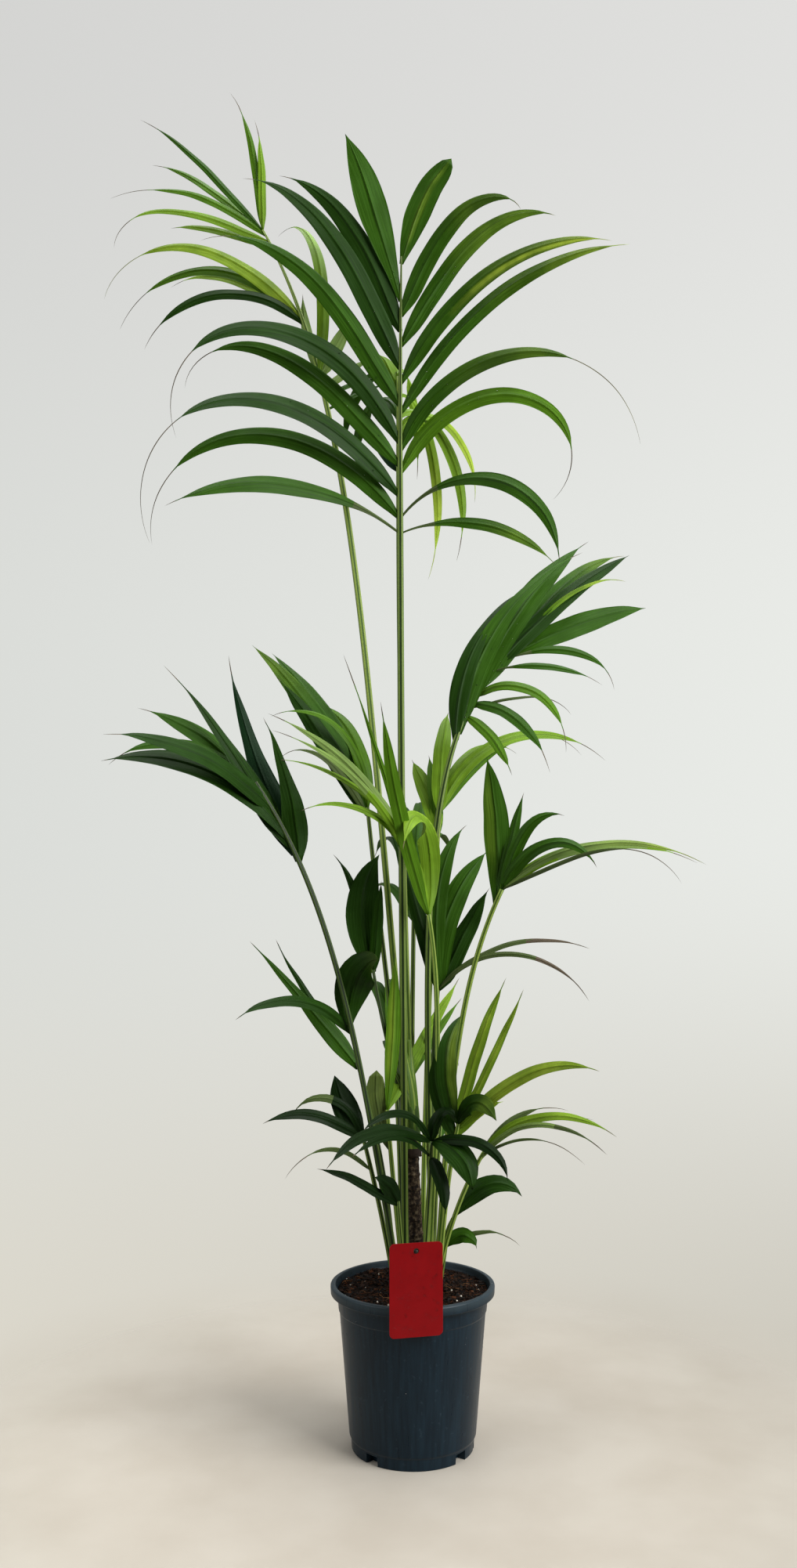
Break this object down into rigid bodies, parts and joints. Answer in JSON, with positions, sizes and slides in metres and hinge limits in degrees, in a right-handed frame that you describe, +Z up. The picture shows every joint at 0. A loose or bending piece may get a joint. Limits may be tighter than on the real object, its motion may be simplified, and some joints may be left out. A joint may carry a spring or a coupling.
{
  "type": "potted kentia palm",
  "caption": "Tall indoor kentia palm with arching feather-shaped fronds, a slim ringed stem, a round nursery pot of soil and a plain red plant tag.",
  "frame": {"origin": "middle of the pot's flat underside, which stands on the floor", "axes": "+Z up along the plant, -Y towards the tag at the front, +X to the right seen from the front"},
  "size_m": [0.7731, 0.6497, 1.8131],
  "materials": {
    "pot_plastic": "satin",
    "potting_soil": "matte",
    "tag_plastic": "gloss",
    "stake_plastic": "satin",
    "ringed_bark": "matte",
    "mature_leaf": "satin",
    "young_leaf": "satin"
  },
  "bodies": {
    "root": {"pot": "pot_plastic", "soil": "potting_soil", "trunk": "ringed_bark", "tag": "tag_plastic", "tag_stake": "stake_plastic", "frond_tall_front": "mature_leaf", "frond_tall_left": "young_leaf", "frond_tall_young": "young_leaf", "frond_right_upper": "mature_leaf", "frond_right_arching": "young_leaf", "frond_left_upper": "mature_leaf", "frond_centre_left": "mature_leaf", "frond_centre_front": "young_leaf", "frond_right_middle": "mature_leaf", "frond_centre_right": "mature_leaf", "frond_left_middle": "mature_leaf", "frond_left_slim": "mature_leaf", "frond_inner_left": "mature_leaf", "leaf_spear": "young_leaf", "frond_left_low": "mature_leaf", "frond_front_low": "mature_leaf", "frond_right_inner": "young_leaf", "frond_right_low": "young_leaf", "leaf_right_low": "mature_leaf", "leaf_right_lowest": "mature_leaf", "leaf_left_lowest": "mature_leaf", "frond_back_upper": "mature_leaf", "frond_back_lower": "mature_leaf", "frond_back_low": "young_leaf"}
  },
  "joints": []
}
